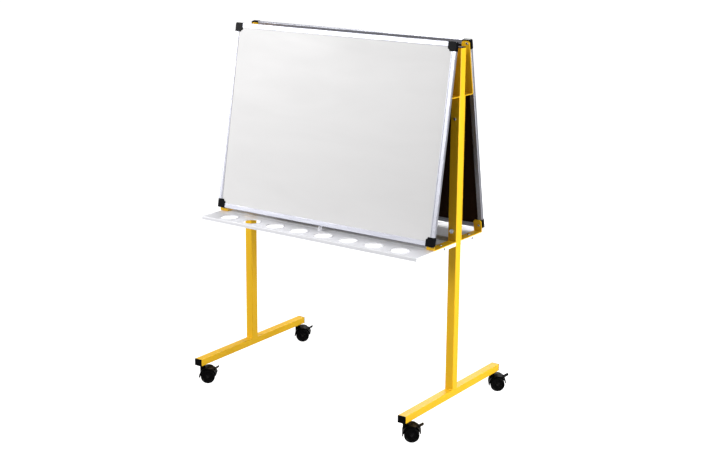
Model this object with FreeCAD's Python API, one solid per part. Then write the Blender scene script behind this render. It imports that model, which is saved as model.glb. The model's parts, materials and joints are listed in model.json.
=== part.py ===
"""Mobile double-sided whiteboard easel: two T-shaped steel legs on twin-wheel swivel castors carry
two framed whiteboards that lean together over a folded steel tray with round holes for paint pots.

Frame: X along the boards, Y from front to back, +Z up, millimetres.
Origin: on the floor, midway between the four castor stems.
"""
import FreeCAD, Part
import math
import os

Vector = FreeCAD.Vector
Rotation = FreeCAD.Rotation
Placement = FreeCAD.Placement
X_AXIS, Y_AXIS, Z_AXIS = Vector(1, 0, 0), Vector(0, 1, 0), Vector(0, 0, 1)

# ---------------------------------------------------------------- driving dimensions, mm
BOARD_WIDTH = 900.0          # outside the aluminium frame
BOARD_HEIGHT = 650.0
BOARD_DEPTH = 12.0           # frame section, front to back
BOARD_LEAN = 10.0            # degrees from upright
BOARD_FOOT_Y = 160.0         # outer face of a board at its bottom edge, from the middle
BOARD_GAP = 16.0             # tray to the bottom edge of a board

RAIL_FACE = 16.0             # width of the aluminium rail seen from the front
RAIL_WALL = 1.5
RAIL_ROUND = 1.2             # outer edges of the rail
RAIL_GROOVE = 2.0            # groove along the face: width
RAIL_GROOVE_DEPTH = 1.0
RAIL_GROOVE_IN = 3.0         # far side of the groove from the inner edge of the rail
PANEL_INSET = 4.0            # panel edge in from the outside of the rail
SURFACE_SHEET = 0.7          # steel writing surface
CORNER_LEG = 30.0            # corner piece, along each edge
CORNER_BAND = 23.0           # width of each arm of the corner piece
CORNER_PROUD = 1.0           # corner piece beyond the rails, all round
CORNER_ROUND = 5.0
CORNER_EDGE = 0.6            # rounded front edges of the corner piece

POST_SIZE = 30.0             # square upright tube
POST_INSET = 2.0             # outer face of a post in from the end of the boards
POST_TOP = 1235.0            # top of the upright tube above the floor
FOOT_LENGTH = 594.0          # foot tube, without its end plugs
FOOT_WIDTH = 30.0
FOOT_HEIGHT = 25.0
TUBE_WALL = 1.5
TUBE_ROUND = 2.2             # outer corner of the tubes
PLUG_FLANGE = 3.0
PLUG_DEPTH = 10.0
PLUG_CLEARANCE = 0.2
PLUG_ROUND = 1.2

BAR_THICKNESS = 3.0          # flat bars that hold the boards and the tray
BAR_BEND = 2.0               # inner radius of a bend
BAR_EDGE = 0.6               # rounded edges of the flat bar
BAR_CROSSING = 1080.0        # underside of the upper step of the bar
BAR_TOP_INSET = 3.2          # end of the bar below the top edge of the board
BAR_TAB = 42.0               # lower tab, above the tray
BAR_CHAMFER = 6.0

TRAY_TOP = 602.0             # top of the tray above the floor
TRAY_DEPTH = 500.0
TRAY_INSET = 1.0             # end of the tray in from the outer face of the posts
TRAY_LIP = 12.0              # folded edge
TRAY_SHEET = 1.5
TRAY_FOLD = 2.5              # outer radius of a fold
PAN_DEPTH = 280.0            # middle panel of the tray
PANEL_JOINT = 0.5            # gap between two folded panels
POST_CLEARANCE = 0.5         # notch round a post
POT_HOLES = 8                # in each shelf
POT_HOLE_RADIUS = 28.5
POT_PITCH = 101.7
POT_Y = 208.0
RAIL_HEIGHT = 5.0            # stiffening bar along the middle of the tray

PROP_THICKNESS = 2.0         # fin under the middle of each board
PROP_NOSE = 8.0              # in front of the board
PROP_RISE = 9.0              # height of the nose
PROP_REACH = 14.0            # under the board
PROP_CLEARANCE = 0.3

M5_RADIUS = 2.5
M5_HOLE_RADIUS = 2.75
M5_HEAD_RADIUS = 4.75
M5_HEAD_HEIGHT = 3.0
HEAD_ROUND = 0.6             # share of a screw head's height that is rounded
M5_LENGTH = 12.0
M5_NUT_FLATS = 8.0
M5_NUT_HEIGHT = 4.0
M8_RADIUS = 4.0
M8_HOLE_RADIUS = 4.25
M8_FLATS = 13.0
M8_HEAD_HEIGHT = 5.3
M8_NUT_HEIGHT = 6.5
M8_THREAD_PAST = 3.0
BOARD_SCREW_RADIUS = 2.0
BOARD_SCREW_HOLE_RADIUS = 2.25
BOARD_SCREW_HEAD_RADIUS = 4.0
BOARD_SCREW_HEAD_HEIGHT = 2.4
BOARD_SCREW_LENGTH = 10.0
BOARD_SCREW_INSET = 10.0     # from the top and bottom edge of the board
BOARD_SCREW_OUT = 5.0        # from the middle of the bar towards the end of the easel
TRAY_SCREW_Y = 87.0
POST_BOLT_HEIGHT = 37.0      # above the tray
POST_SCREW_BELOW = 72.0      # below the upper step
SLOT_WIDTH = 1.2
SLOT_DEPTH = 1.2
RIVET_RADIUS = 2.0
RIVET_HEAD_RADIUS = 4.0
RIVET_HEAD_HEIGHT = 1.2
RIVETS_PER_JOINT = 4
RIVET_SPAN = 780.0

CASTOR_HEIGHT = 65.0         # floor to the underside of the foot
CASTOR_FROM_END = 25.0       # stem from the end of the foot
CASTOR_REST = 34.0           # degrees: where the castors trail at rest
TRAIL = 20.0                 # stem to axle
WHEEL_RADIUS = 25.0
WHEEL_WIDTH = 16.0
WHEEL_GAP = 14.6             # between the two wheels
WHEEL_ROUND = 3.0
WHEEL_DISH = 2.5
WHEEL_DISH_RADIUS = 19.0
WHEEL_HUB_RADIUS = 7.0
WHEEL_HUB_FLARE = 1.0        # hub at its foot beyond its rim
AXLE_RADIUS = 3.0
AXLE_HEAD_RADIUS = 4.5
AXLE_HEAD = 1.0
RUNNING_CLEARANCE = 0.05
SIDE_CLEARANCE = 0.3
HOOD_INNER = 27.5
HOOD_OUTER = 31.0
HOOD_WIDTH = 47.0
HOOD_FROM, HOOD_TO = 64.0, 186.0      # degrees round the axle, from the trailing side
WEB_WIDTH = 13.0
AXLE_BOSS_RADIUS = 9.0
STEM_BOSS_RADIUS = 9.5
STEM_BOSS_FOOT = 31.0        # underside of the boss above the floor
STEM_PIN_RADIUS = 4.0
STEM_PIN_FOOT = 34.0
STEM_COLLAR_RADIUS = 9.0
STEM_COLLAR = 3.0
STEM_THREAD_RADIUS = 5.0
STEM_HOLE_RADIUS = 5.25
STEM_NUT_FLATS = 17.0
STEM_NUT_HEIGHT = 8.0
STEM_THREAD_PAST = 2.0
BRAKE_HINGE_ANGLE = 60.0
BRAKE_HINGE_RADIUS = 29.2    # hinge line from the axle
BRAKE_PIN_RADIUS = 1.6
BRAKE_KNUCKLE_RADIUS = 3.1
BRAKE_KNUCKLE_WIDTH = 17.0
BRAKE_EAR_WIDTH = 9.0
BRAKE_FROM = 13.0            # degrees round the axle
BRAKE_LIP = 1.8              # radius of the rolled lower edge of the shoe
BRAKE_WIDTH = 44.0
BRAKE_TONGUE_WIDTH = 20.0
BRAKE_TONGUE = 2.8
BRAKE_TONGUE_ANGLE = 48.0    # where the tongue leaves the shoe
BRAKE_TIP_OUT = 38.0         # tip of the tongue from the axle
BRAKE_TIP_UP = 33.0
BRAKE_TIP_ROUND = 6.0        # corners of the tongue
BRAKE_LINK_IN = 2.0          # degrees that the hinge link reaches into the shoe

PAST = 1.0                   # how far a cutting tool runs beyond the face that it cuts
CLOSE = 0.01                 # how near two places are to count as the same

# ---------------------------------------------------------------- places that follow from them
POST_X = BOARD_WIDTH / 2 - POST_INSET - POST_SIZE / 2
FOOT_TOP = CASTOR_HEIGHT + FOOT_HEIGHT
STEM_Y = FOOT_LENGTH / 2 + PLUG_FLANGE - CASTOR_FROM_END
TRAY_END = POST_X + POST_SIZE / 2 - TRAY_INSET
LIP_MIDDLE = TRAY_TOP - (TRAY_LIP + TRAY_SHEET) / 2
BOARD_FOOT_Z = TRAY_TOP + BOARD_GAP
PANEL_DEPTH = BOARD_DEPTH - 2 * RAIL_WALL
POST_BOLT_Z = TRAY_TOP + POST_BOLT_HEIGHT
POST_SCREW_Z = BAR_CROSSING - POST_SCREW_BELOW
BRAKE_TO = BRAKE_HINGE_ANGLE - math.degrees(
    math.asin((BRAKE_KNUCKLE_RADIUS + SIDE_CLEARANCE) / BRAKE_HINGE_RADIUS))
SIN_LEAN = math.sin(math.radians(BOARD_LEAN))
COS_LEAN = math.cos(math.radians(BOARD_LEAN))
SIDES = {"left": -1, "right": 1}
ENDS = {"front": 1, "rear": -1}


# ---------------------------------------------------------------- small tools
def box(x, y, z):
    """Box between the two ends given for each axis."""
    (x0, x1), (y0, y1), (z0, z1) = sorted(x), sorted(y), sorted(z)
    return Part.makeBox(x1 - x0, y1 - y0, z1 - z0, Vector(x0, y0, z0))


def rod(radius, start, end):
    """Round bar from start to end."""
    return Part.makeCylinder(radius, (end - start).Length, start, end - start)


def hexagon(flats, start, end):
    """Hexagonal bar from start to end, with a pair of flats facing sideways."""
    axis = (end - start).normalize()
    across = Vector(flats / math.sqrt(3), 0, 0) if abs(axis.x) < 0.5 else Vector(0, flats / math.sqrt(3), 0)
    corners = [start + Rotation(axis, 60 * i).multVec(across) for i in range(7)]
    return Part.Face(Part.makePolygon(corners)).extrude(end - start)


def prism_x(points, x0, x1):
    """Straight-sided profile in the YZ plane, drawn out along X."""
    corners = [Vector(x0, y, z) for y, z in points]
    return Part.Face(Part.makePolygon(corners + corners[:1])).extrude(Vector(x1 - x0, 0, 0))


def ring_sector(inner, outer, width, start, end):
    """Part of a ring round a castor's axle, centred on its middle, between two angles."""
    middle, y = (start + end) / 2, -width / 2
    arc = Part.Arc(round_axle(outer, start, y), round_axle(outer, middle, y), round_axle(outer, end, y))
    edges = [arc.toShape(), Part.makeLine(round_axle(outer, end, y), round_axle(inner, end, y))]
    if inner > 0:
        arc = Part.Arc(round_axle(inner, end, y), round_axle(inner, middle, y), round_axle(inner, start, y))
        edges.append(arc.toShape())
    edges.append(Part.makeLine(round_axle(inner, start, y), round_axle(outer, start, y)))
    return Part.Face(Part.Wire(edges)).extrude(Vector(0, width, 0))


def turned_about(shape, centre, axis, angle):
    """A copy of the shape turned about an axis through a point."""
    copy = shape.copy()
    copy.rotate(centre, axis, angle)
    return copy


def rear_of(shape):
    """The same piece on the other side of the easel: half a turn about the vertical axis."""
    return turned_about(shape, Vector(0, 0, 0), Z_AXIS, 180)


def tube(x, y, z, along):
    """Thin-walled rectangular tube that is open at both ends along one axis."""
    spans = {"x": x, "y": y, "z": z}
    hollow = {}
    for name, (low, high) in spans.items():
        wall = 0 if name == along else TUBE_WALL
        hollow[name] = (low + wall, high - wall)
    length = spans[along][1] - spans[along][0]

    def rounded(shape, radius):
        return shape.makeFillet(radius, [e for e in shape.Edges if abs(e.Length - length) < CLOSE])

    outer = rounded(box(x, y, z), TUBE_ROUND)
    return outer.cut(rounded(box(hollow["x"], hollow["y"], hollow["z"]), TUBE_ROUND - TUBE_WALL))


def line_beside(flat, offset, bend):
    """Edges of a bent line in the YZ plane, shifted sideways. bend is the bend radius of the middle."""
    edges = []
    at = flat[0] + X_AXIS.cross((flat[1] - flat[0]).normalize()) * offset
    for before_corner, corner, after_corner in zip(flat, flat[1:], flat[2:]):
        before = (corner - before_corner).normalize()
        after = (after_corner - corner).normalize()
        turn = before.getAngle(after)
        side = math.copysign(1, before.cross(after).dot(X_AXIS))
        reach = bend * math.tan(turn / 2)
        start = corner - before * reach
        centre = start + X_AXIS.cross(before) * side * bend
        first = start + X_AXIS.cross(before) * offset
        middle = centre + (corner - centre).normalize() * (bend - side * offset)
        last = corner + after * reach + X_AXIS.cross(after) * offset
        edges.append(Part.makeLine(at, first))
        edges.append(Part.Arc(first, middle, last).toShape())
        at = last
    end = flat[-1] + X_AXIS.cross((flat[-1] - flat[-2]).normalize()) * offset
    return edges + [Part.makeLine(at, end)]


def bent_strip(points, thickness, bend, x0, x1):
    """Flat bar of even thickness, bent round the corners of a centre line in the YZ plane."""
    flat = [Vector(x0, y, z) for y, z in points]
    near = line_beside(flat, thickness / 2, bend + thickness / 2)
    far = line_beside(flat, -thickness / 2, bend + thickness / 2)
    caps = [Part.makeLine(near[0].Vertexes[0].Point, far[0].Vertexes[0].Point),
            Part.makeLine(near[-1].Vertexes[-1].Point, far[-1].Vertexes[-1].Point)]
    wire = Part.Wire(Part.__sortEdges__(near + far + caps))
    return Part.Face(wire).extrude(Vector(x1 - x0, 0, 0))


def pan_head_screw(radius, length, head_radius, head_height, seat, inward):
    """Screw with a rounded, slotted head. seat is under the head, inward points along the shank."""
    head = rod(head_radius, seat - inward * head_height, seat)
    rim = [e for e in head.Edges if abs(e.CenterOfMass.distanceToPoint(seat) - head_height) < CLOSE
           and abs(e.Length - 2 * math.pi * head_radius) < CLOSE]
    head = head.makeFillet(HEAD_ROUND * head_height, rim)
    across = X_AXIS if abs(inward.x) < 0.5 else Y_AXIS
    along = inward.cross(across)
    half = head_radius + PAST
    corner = seat - inward * (head_height + PAST) - across * SLOT_WIDTH / 2 - along * half
    corners = [corner, corner + across * SLOT_WIDTH, corner + across * SLOT_WIDTH + along * 2 * half,
               corner + along * 2 * half]
    slot = Part.Face(Part.makePolygon(corners + corners[:1])).extrude(inward * (PAST + SLOT_DEPTH))
    return head.cut(slot).fuse(rod(radius, seat, seat + inward * length)).removeSplitter()


def rivet(start, end):
    """Rivet through the sheet between start and end, with a round head on both sides."""
    along = (end - start).normalize() * RIVET_HEAD_HEIGHT
    heads = [rod(RIVET_HEAD_RADIUS, start - along, start), rod(RIVET_HEAD_RADIUS, end, end + along)]
    return rod(RIVET_RADIUS, start, end).fuse(heads).removeSplitter()


# ---------------------------------------------------------------- legs
def foot(side):
    """Foot tube of one T-shaped leg, with a hole in its lower wall for each castor stem."""
    x = side * POST_X
    body = tube((x - FOOT_WIDTH / 2, x + FOOT_WIDTH / 2), (-FOOT_LENGTH / 2, FOOT_LENGTH / 2),
                (CASTOR_HEIGHT, FOOT_TOP), "y")
    for y in (-STEM_Y, STEM_Y):
        body = body.cut(rod(STEM_HOLE_RADIUS, Vector(x, y, CASTOR_HEIGHT - PAST),
                            Vector(x, y, CASTOR_HEIGHT + TUBE_WALL + PAST)))
    return body


def upright(side):
    """Square upright, welded on the middle of the foot, drilled for its bolt and screws."""
    x, half = side * POST_X, POST_SIZE / 2
    body = tube((x - half, x + half), (-half, half), (FOOT_TOP, POST_TOP), "z")
    for radius, z in ((M8_HOLE_RADIUS, POST_BOLT_Z), (M5_RADIUS, POST_SCREW_Z)):
        body = body.cut(rod(radius, Vector(x, -half - PAST, z), Vector(x, half + PAST, z)))
    return body


def plug(width, height, seat, inward):
    """Push-in plug for a rectangular tube. seat is the middle of the tube's end."""
    flange = Part.makeBox(width, height, PLUG_FLANGE, Vector(-width / 2, -height / 2, -PLUG_FLANGE))
    face = [e for e in flange.Edges if abs(e.CenterOfMass.z + PLUG_FLANGE) < CLOSE]
    corners = [e for e in flange.Edges if abs(e.CenterOfMass.z + PLUG_FLANGE / 2) < CLOSE]
    flange = flange.makeFillet(PLUG_ROUND, face + corners)
    gap = TUBE_WALL + PLUG_CLEARANCE
    body = Part.makeBox(width - 2 * gap, height - 2 * gap, PLUG_DEPTH,
                        Vector(-width / 2 + gap, -height / 2 + gap, 0))
    hollow = Part.makeBox(width - 4 * gap, height - 4 * gap, PLUG_DEPTH,
                          Vector(-width / 2 + 2 * gap, -height / 2 + 2 * gap, gap))
    piece = flange.fuse(body).cut(hollow).removeSplitter()
    piece.Placement = Placement(seat, Rotation(Z_AXIS, inward))
    return piece


def foot_plugs():
    """Plugs in both ends of both feet."""
    middle = CASTOR_HEIGHT + FOOT_HEIGHT / 2
    made = []
    for side in SIDES.values():
        for end in ENDS.values():
            seat = Vector(side * POST_X, -end * FOOT_LENGTH / 2, middle)
            made.append(plug(FOOT_WIDTH, FOOT_HEIGHT, seat, Vector(0, end, 0)))
    return Part.makeCompound(made)


def upright_plugs():
    """Plug in the top of each upright."""
    return Part.makeCompound([plug(POST_SIZE, POST_SIZE, Vector(side * POST_X, 0, POST_TOP), -Z_AXIS)
                              for side in SIDES.values()])


# ---------------------------------------------------------------- flat bars
def board_point(up, inward):
    """(y, z) of a point of the front board, up from its bottom edge and in from its outer face."""
    return (-BOARD_FOOT_Y + up * SIN_LEAN + inward * COS_LEAN,
            BOARD_FOOT_Z + up * COS_LEAN - inward * SIN_LEAN)


def along_board_at(z, inward):
    """How far up the front board the line at that depth reaches a height."""
    return (z - BOARD_FOOT_Z + inward * SIN_LEAN) / COS_LEAN


def bar_line():
    """Centre line of a front bar, from the top of the board down to the lower tab."""
    depth = BOARD_DEPTH + BAR_THICKNESS / 2
    upper, lower = BAR_CROSSING + BAR_THICKNESS / 2, TRAY_TOP + BAR_THICKNESS / 2
    on_post = -POST_SIZE / 2 - BAR_THICKNESS / 2
    return [board_point(BOARD_HEIGHT - BAR_TOP_INSET, depth),
            board_point(along_board_at(upper, depth), depth),
            (on_post, upper),
            (on_post, lower),
            board_point(along_board_at(lower, depth), depth),
            board_point(along_board_at(TRAY_TOP + BAR_TAB, depth), depth)]


def board_screw_seats(side):
    """Seats of the two board screws of a front bar, and their direction."""
    x = side * (POST_X + BOARD_SCREW_OUT)
    outward = Vector(0, -COS_LEAN, SIN_LEAN)
    seats = []
    for up in (BOARD_SCREW_INSET, BOARD_HEIGHT - BOARD_SCREW_INSET - CORNER_PROUD):
        y, z = board_point(up, BOARD_DEPTH + BAR_THICKNESS)
        seats.append(Vector(x, y, z))
    return seats, outward


def front_bar(side):
    """Flat bar bent in steps: along the board, in to the post, down it, out over the tray, and up."""
    x0, x1 = side * POST_X - POST_SIZE / 2, side * POST_X + POST_SIZE / 2
    bar = bent_strip(bar_line(), BAR_THICKNESS, BAR_BEND, x0, x1)
    corners = [e for e in bar.Edges if abs(e.Length - BAR_THICKNESS) < CLOSE
               and abs(e.BoundBox.XMax - e.BoundBox.XMin) < CLOSE]
    bar = bar.makeChamfer(BAR_CHAMFER, corners)
    sides = [f for f in bar.Faces if abs(f.normalAt(0, 0).x) > 1 - CLOSE]
    bar = bar.makeFillet(BAR_EDGE, [e for f in sides for e in f.Edges if e.Length > 2 * BAR_THICKNESS])
    x = side * POST_X
    front = -POST_SIZE / 2 - BAR_THICKNESS - PAST
    holes = [rod(M8_HOLE_RADIUS, Vector(x, front, POST_BOLT_Z), Vector(x, 0, POST_BOLT_Z)),
             rod(M5_HOLE_RADIUS, Vector(x, front, POST_SCREW_Z), Vector(x, 0, POST_SCREW_Z)),
             rod(M5_HOLE_RADIUS, Vector(x, -TRAY_SCREW_Y, TRAY_TOP - PAST),
                 Vector(x, -TRAY_SCREW_Y, TRAY_TOP + BAR_THICKNESS + PAST))]
    seats, outward = board_screw_seats(side)
    for seat in seats:
        holes.append(rod(BOARD_SCREW_HOLE_RADIUS, seat - outward * PAST,
                         seat + outward * (BAR_THICKNESS + PAST)))
    for hole in holes:
        bar = bar.cut(hole)
    return bar


# ---------------------------------------------------------------- tray
def folded_panel(y0, y1):
    """Sheet panel of the tray with all four edges folded down, open underneath."""
    outer = box((-TRAY_END, TRAY_END), (y0, y1), (TRAY_TOP - TRAY_LIP, TRAY_TOP))
    inner = box((-TRAY_END + TRAY_SHEET, TRAY_END - TRAY_SHEET),
                (y0 + TRAY_SHEET, y1 - TRAY_SHEET), (TRAY_TOP - TRAY_LIP, TRAY_TOP - TRAY_SHEET))

    def folds(shape, top):
        return [e for e in shape.Edges if TRAY_TOP - TRAY_LIP + CLOSE < e.CenterOfMass.z < top + CLOSE]

    outer = outer.makeFillet(TRAY_FOLD, folds(outer, TRAY_TOP))
    inner = inner.makeFillet(TRAY_FOLD - TRAY_SHEET, folds(inner, TRAY_TOP - TRAY_SHEET))
    return outer.cut(inner)


def rivet_places():
    """Places of the rivets that join two folded panels."""
    step = RIVET_SPAN / (RIVETS_PER_JOINT - 1)
    return [-RIVET_SPAN / 2 + step * i for i in range(RIVETS_PER_JOINT)]


def rivet_holes(y):
    """Holes for the rivets through the folded edges at one joint."""
    reach = PANEL_JOINT + 2 * TRAY_SHEET
    return [rod(RIVET_RADIUS, Vector(x, y - reach, LIP_MIDDLE), Vector(x, y + reach, LIP_MIDDLE))
            for x in rivet_places()]


def front_shelf():
    """Front shelf of the tray with its row of paint-pot holes."""
    joint = -PAN_DEPTH / 2 - PANEL_JOINT
    shelf = folded_panel(-TRAY_DEPTH / 2, joint)
    first = -POT_PITCH * (POT_HOLES - 1) / 2
    holes = [rod(POT_HOLE_RADIUS, Vector(first + POT_PITCH * i, -POT_Y, TRAY_TOP - TRAY_SHEET - PAST),
                 Vector(first + POT_PITCH * i, -POT_Y, TRAY_TOP + PAST)) for i in range(POT_HOLES)]
    for hole in holes + rivet_holes(joint):
        shelf = shelf.cut(hole)
    return shelf


def centre_pan():
    """Middle panel of the tray, notched round the posts and drilled for the bar screws."""
    pan = folded_panel(-PAN_DEPTH / 2, PAN_DEPTH / 2)
    notch = POST_SIZE / 2 + POST_CLEARANCE
    cuts = []
    for side in SIDES.values():
        cuts.append(box((side * (POST_X - notch), side * (TRAY_END + PAST)), (-notch, notch),
                        (TRAY_TOP - TRAY_LIP - PAST, TRAY_TOP + PAST)))
        for y in (-TRAY_SCREW_Y, TRAY_SCREW_Y):
            cuts.append(rod(M5_HOLE_RADIUS, Vector(side * POST_X, y, TRAY_TOP - TRAY_SHEET - PAST),
                            Vector(side * POST_X, y, TRAY_TOP + PAST)))
            cuts.append(rod(RIVET_RADIUS, Vector(side * (TRAY_END - 2 * TRAY_SHEET), y, LIP_MIDDLE),
                            Vector(side * (TRAY_END + TRAY_SHEET), y, LIP_MIDDLE)))
    for y in (-PAN_DEPTH / 2, PAN_DEPTH / 2):
        cuts += rivet_holes(y)
    for cut in cuts:
        pan = pan.cut(cut)
    return pan


def tray_rail():
    """Stiffening bar along the middle of the tray, from post to post."""
    end = POST_X - POST_SIZE / 2
    return box((-end, end), (-POST_SIZE / 2, POST_SIZE / 2), (TRAY_TOP, TRAY_TOP + RAIL_HEIGHT))


def board_props():
    """Steel fin on the tray under the middle of each board, so that its bottom rail can't sag."""
    top_out = board_point(-PROP_CLEARANCE, 0)
    top_in = board_point(-PROP_CLEARANCE, PROP_REACH)
    nose = top_out[0] - PROP_NOSE
    outline = [(nose, TRAY_TOP), (nose, TRAY_TOP + PROP_RISE), top_out, top_in, (top_in[0], TRAY_TOP)]
    fin = prism_x(outline, -PROP_THICKNESS / 2, PROP_THICKNESS / 2)
    return Part.makeCompound([fin, rear_of(fin)])


# ---------------------------------------------------------------- boards
def lean(shape):
    """Puts a piece of the front board in place: x across, y inwards from the face, z up the board."""
    copy = shape.copy()
    copy.Placement = Placement(Vector(0, -BOARD_FOOT_Y, BOARD_FOOT_Z), Rotation(X_AXIS, -BOARD_LEAN))
    return copy


def panel_layer(start, end):
    """One layer of the panel between two depths from the face."""
    half = BOARD_WIDTH / 2 - PANEL_INSET
    return box((-half, half), (start, end), (PANEL_INSET, BOARD_HEIGHT - PANEL_INSET))


def screw_drills():
    """Holes that the board screws make in the corner pieces and the panel."""
    drills = []
    for side in SIDES.values():
        seats, outward = board_screw_seats(side)
        drills += [rod(BOARD_SCREW_RADIUS, seat, seat + outward * BOARD_SCREW_LENGTH) for seat in seats]
    return drills


def surface():
    """Steel writing surface."""
    return lean(panel_layer(RAIL_WALL, RAIL_WALL + SURFACE_SHEET))


def core():
    """Board behind the writing surface."""
    piece = lean(panel_layer(RAIL_WALL + SURFACE_SHEET, RAIL_WALL + PANEL_DEPTH))
    for drill in screw_drills():
        piece = piece.cut(drill)
    return piece


def panel_space():
    """Slot that the rails and corner pieces leave for the panel."""
    return panel_layer(RAIL_WALL, RAIL_WALL + PANEL_DEPTH)


def groove_space():
    """Shallow groove that runs round the face of the rails."""
    far = RAIL_FACE - RAIL_GROOVE_IN
    near = far - RAIL_GROOVE
    half, tall = BOARD_WIDTH / 2, BOARD_HEIGHT
    deep = (-PAST, RAIL_GROOVE_DEPTH)
    outer = box((-half + near, half - near), deep, (near, tall - near))
    return outer.cut(box((-half + far, half - far), deep, (far, tall - far)))


def rails():
    """The four aluminium rails, by name. Each is a channel that holds an edge of the panel."""
    half, tall = BOARD_WIDTH / 2, BOARD_HEIGHT
    across = (-half + CORNER_LEG, half - CORNER_LEG)
    up = (CORNER_LEG, tall - CORNER_LEG)
    deep = (0, BOARD_DEPTH)
    spans = {"bottom": (across, (0, RAIL_FACE)), "top": (across, (tall - RAIL_FACE, tall)),
             "left": ((-half, -half + RAIL_FACE), up), "right": ((half - RAIL_FACE, half), up)}
    made = {}
    for name, (x, z) in spans.items():
        rail = box(x, deep, z)
        long_edges = [e for e in rail.Edges if e.Length > BOARD_HEIGHT / 2]
        rail = rail.makeFillet(RAIL_ROUND, long_edges).cut(panel_space())
        made[name] = lean(rail.cut(groove_space()))
    return made


def corner_pieces():
    """Plastic piece over each corner, two arms with a rounded outer and a hollow inner corner."""
    low, leg, band = -CORNER_PROUD, CORNER_LEG, CORNER_BAND
    hollow = leg - (leg - band) * math.sqrt(0.5)
    inner = Part.Arc(Vector(leg, low, band), Vector(hollow, low, hollow), Vector(band, low, leg)).toShape()
    outline = [(band, leg), (low, leg), (low, low), (leg, low), (leg, band)]
    edges = Part.makePolygon([Vector(x, low, z) for x, z in outline]).Edges
    arms = Part.Face(Part.Wire([inner] + edges)).extrude(Vector(0, BOARD_DEPTH + CORNER_PROUD, 0))
    outer = [e for e in arms.Edges
             if abs(e.BoundBox.XMax - low) < CLOSE and abs(e.BoundBox.ZMax - low) < CLOSE]
    arms = arms.makeFillet(CORNER_ROUND, outer)
    front = [e for e in arms.Edges if abs(e.BoundBox.YMax - low) < CLOSE]
    arms = arms.makeFillet(CORNER_EDGE, front)
    made = []
    for flip_x in (False, True):
        for flip_z in (False, True):
            piece = arms.copy()
            if flip_x:
                piece = piece.mirror(Vector(0, 0, 0), X_AXIS)
            if flip_z:
                piece = piece.mirror(Vector(0, 0, 0), Z_AXIS)
            piece.translate(Vector(BOARD_WIDTH / 2 if flip_x else -BOARD_WIDTH / 2, 0,
                                   BOARD_HEIGHT if flip_z else 0))
            piece = lean(piece.cut(panel_space()))
            for drill in screw_drills():
                piece = piece.cut(drill)
            made.append(piece)
    return Part.makeCompound(made)


def board_nodes():
    """Pieces of the front board by name."""
    nodes = {"surface": surface(), "core": core(), "corners": corner_pieces()}
    for name, rail in rails().items():
        nodes[name + "_rail"] = rail
    return nodes


# ---------------------------------------------------------------- fasteners
def fasteners():
    """Groups of identical screws, bolts, nuts and rivets, by node name."""
    groups = {name: [] for name in ("board_screws", "bracket_screws", "tray_nuts", "post_bolts",
                                    "post_nuts", "shelf_rivets")}
    face = POST_SIZE / 2 + BAR_THICKNESS
    for side in SIDES.values():
        x = side * POST_X
        seats, outward = board_screw_seats(side)
        for seat in seats:
            screw = pan_head_screw(BOARD_SCREW_RADIUS, BOARD_SCREW_LENGTH, BOARD_SCREW_HEAD_RADIUS,
                                   BOARD_SCREW_HEAD_HEIGHT, seat, outward)
            groups["board_screws"] += [screw, rear_of(screw)]
        for seat, inward in ((Vector(x, -TRAY_SCREW_Y, TRAY_TOP + BAR_THICKNESS), -Z_AXIS),
                             (Vector(x, -face, POST_SCREW_Z), Y_AXIS)):
            screw = pan_head_screw(M5_RADIUS, M5_LENGTH, M5_HEAD_RADIUS, M5_HEAD_HEIGHT, seat, inward)
            groups["bracket_screws"] += [screw, rear_of(screw)]
        under = TRAY_TOP - TRAY_SHEET
        for y in (-TRAY_SCREW_Y, TRAY_SCREW_Y):
            nut = hexagon(M5_NUT_FLATS, Vector(x, y, under - M5_NUT_HEIGHT), Vector(x, y, under))
            groups["tray_nuts"].append(nut.cut(rod(M5_RADIUS, Vector(x, y, under - 2 * M5_NUT_HEIGHT),
                                                   Vector(x, y, under + PAST))))
        tail = Vector(x, face + M8_NUT_HEIGHT + M8_THREAD_PAST, POST_BOLT_Z)
        seat = Vector(x, -face, POST_BOLT_Z)
        far = Vector(x, face, POST_BOLT_Z)
        bolt = hexagon(M8_FLATS, seat - Y_AXIS * M8_HEAD_HEIGHT, seat).fuse(rod(M8_RADIUS, seat, tail))
        nut = hexagon(M8_FLATS, far, far + Y_AXIS * M8_NUT_HEIGHT)
        groups["post_bolts"].append(bolt.removeSplitter())
        groups["post_nuts"].append(nut.cut(rod(M8_RADIUS, seat, tail + Y_AXIS)))
    for y in (-PAN_DEPTH / 2, PAN_DEPTH / 2):
        outer = y + math.copysign(PANEL_JOINT + TRAY_SHEET, y)
        inner = y - math.copysign(TRAY_SHEET, y)
        for x in rivet_places():
            groups["shelf_rivets"].append(rivet(Vector(x, outer, LIP_MIDDLE), Vector(x, inner, LIP_MIDDLE)))
    for side in SIDES.values():
        outer, inner = side * TRAY_END, side * (TRAY_END - TRAY_SHEET)
        for y in (-TRAY_SCREW_Y, TRAY_SCREW_Y):
            groups["shelf_rivets"].append(rivet(Vector(outer, y, LIP_MIDDLE), Vector(inner, y, LIP_MIDDLE)))
    return {name: Part.makeCompound(pieces) for name, pieces in groups.items()}


# ---------------------------------------------------------------- castors
# A castor is drawn with its stem on the Z axis, its wheels trailing along +X, and the floor at z = 0.
def castor_stem():
    """Threaded stem with a collar under the foot and a plain pin that the housing turns on."""
    collar_foot = CASTOR_HEIGHT - STEM_COLLAR
    top = CASTOR_HEIGHT + TUBE_WALL + STEM_NUT_HEIGHT + STEM_THREAD_PAST
    thread = rod(STEM_THREAD_RADIUS, Vector(0, 0, CASTOR_HEIGHT), Vector(0, 0, top))
    collar = rod(STEM_COLLAR_RADIUS, Vector(0, 0, collar_foot), Vector(0, 0, CASTOR_HEIGHT))
    pin = rod(STEM_PIN_RADIUS, Vector(0, 0, STEM_PIN_FOOT), Vector(0, 0, collar_foot))
    return thread.fuse([collar, pin]).removeSplitter()


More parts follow.
